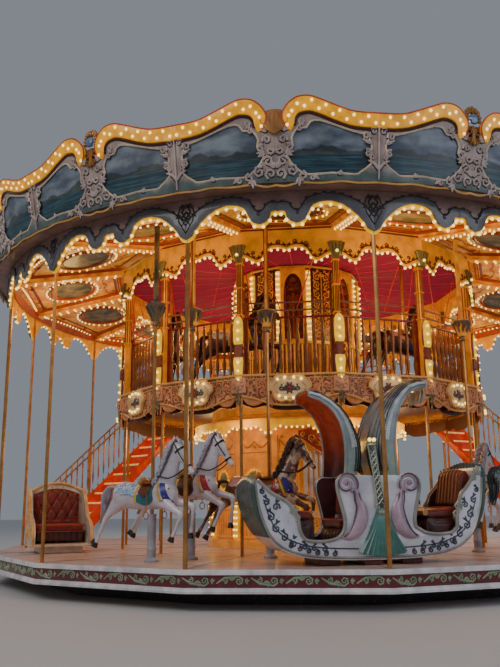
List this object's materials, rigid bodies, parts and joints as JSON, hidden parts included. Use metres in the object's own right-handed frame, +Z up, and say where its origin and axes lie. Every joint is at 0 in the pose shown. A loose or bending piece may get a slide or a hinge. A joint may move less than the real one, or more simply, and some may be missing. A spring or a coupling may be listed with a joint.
{
  "type": "two-deck fairground carousel",
  "caption": "Round fairground ride on two decks, with galloping horses on poles, a hooded sleigh, stairs, a carved cornice and a canvas roof.",
  "frame": {"origin": "on the ground under the middle of the carousel", "axes": "+Z up, -Y towards the front, +X to the right seen from the front"},
  "size_m": [11.317, 11.3958, 8.6803],
  "materials": {
    "base_steel": "painted steel",
    "platform_floor": "painted boards",
    "maroon_skirt": "gloss paint",
    "core_cream": "painted carving",
    "organ_case": "painted carving",
    "gold_post": "aged gilding",
    "deck_boards": "varnish",
    "fascia_carving": "painted carving",
    "bronze_rail": "bronze paint",
    "stair_red": "gloss paint",
    "stair_rail": "polished",
    "core_carving": "varnish",
    "column_gold": "gilding",
    "valance_cream": "painted carving",
    "red_cloth": "stretched cloth",
    "valance_grey": "painted carving",
    "ceiling_gold": "painted boards",
    "cornice_paint": "painted panels",
    "roof_canvas": "coated canvas",
    "crown_gold": "gilding",
    "horse_white": "gloss paint",
    "horse_brown": "gloss paint",
    "brass_pole": "polished",
    "sleigh_paint": "gloss paint",
    "hood_paint": "gloss paint",
    "hood_lining": "upholstery",
    "carriage_paint": "gloss paint",
    "tufted_leather": "tufted"
  },
  "bodies": {
    "base": {"base_frame": "base_steel"},
    "carousel": {"platform": "platform_floor", "platform_skirt": "maroon_skirt", "lower_core": "core_cream", "organ_front": "organ_case", "deck_posts": "gold_post", "deck_floor": "deck_boards", "deck_fascia": "fascia_carving", "deck_railing_front": "bronze_rail", "deck_railing_left": "bronze_rail", "deck_railing_right": "bronze_rail", "deck_railing_back": "bronze_rail", "stair_left": "stair_red", "stair_right": "stair_red", "stair_balustrade_left": "stair_rail", "stair_balustrade_right": "stair_rail", "upper_core": "core_carving", "colonnade": "column_gold", "inner_valance": "valance_cream", "deck_ceiling": "red_cloth", "outer_poles": "gold_post", "outer_valance": "valance_grey", "outer_ceiling": "ceiling_gold", "cornice": "cornice_paint", "roof": "roof_canvas", "roof_crown": "crown_gold", "sleigh_body": "sleigh_paint", "sleigh_hood_left": "hood_paint", "sleigh_hood_right": "hood_paint", "sleigh_seat_left": "hood_lining", "sleigh_seat_right": "hood_lining", "sleigh_end_seat_left": "hood_lining", "sleigh_end_seat_right": "hood_lining", "carriage_left": "carriage_paint", "carriage_right": "carriage_paint", "carriage_seat_left": "tufted_leather", "carriage_seat_right": "tufted_leather", "deck_horse_1": "horse_white", "deck_horse_2": "horse_white", "deck_horse_3": "horse_white", "deck_horse_4": "horse_white"},
    "jumper_1": {"horse_1": "horse_white", "horse_pole_1": "brass_pole"},
    "jumper_2": {"horse_2": "horse_white", "horse_pole_2": "brass_pole"},
    "jumper_3": {"horse_3": "horse_brown", "horse_pole_3": "brass_pole"},
    "jumper_4": {"horse_4": "horse_white", "horse_pole_4": "brass_pole"},
    "jumper_5": {"horse_5": "horse_white", "horse_pole_5": "brass_pole"},
    "jumper_6": {"horse_6": "horse_brown", "horse_pole_6": "brass_pole"},
    "jumper_7": {"horse_7": "horse_white", "horse_pole_7": "brass_pole"},
    "jumper_8": {"horse_8": "horse_white", "horse_pole_8": "brass_pole"}
  },
  "joints": [
    {"name": "carousel_turn", "type": "hinge", "parent": "base", "child": "carousel", "pos_m": [0, 0, 0.4], "axis": [0, 0, 1], "continuous": true},
    {"name": "horse_1_gallop", "type": "slide", "parent": "carousel", "child": "jumper_1", "axis": [0, 0, 1], "range_m": [-0.04, 0.22]},
    {"name": "horse_2_gallop", "type": "slide", "parent": "carousel", "child": "jumper_2", "axis": [0, 0, 1], "range_m": [-0.15, 0.11]},
    {"name": "horse_3_gallop", "type": "slide", "parent": "carousel", "child": "jumper_3", "axis": [0, 0, 1], "range_m": [-0.11, 0.15]},
    {"name": "horse_4_gallop", "type": "slide", "parent": "carousel", "child": "jumper_4", "axis": [0, 0, 1], "range_m": [-0.23, 0.03]},
    {"name": "horse_5_gallop", "type": "slide", "parent": "carousel", "child": "jumper_5", "axis": [0, 0, 1], "range_m": [-0.06, 0.2]},
    {"name": "horse_6_gallop", "type": "slide", "parent": "carousel", "child": "jumper_6", "axis": [0, 0, 1], "range_m": [-0.09, 0.17]},
    {"name": "horse_7_gallop", "type": "slide", "parent": "carousel", "child": "jumper_7", "axis": [0, 0, 1], "range_m": [-0.23, 0.03]},
    {"name": "horse_8_gallop", "type": "slide", "parent": "carousel", "child": "jumper_8", "axis": [0, 0, 1], "range_m": [-0.02, 0.24]}
  ]
}
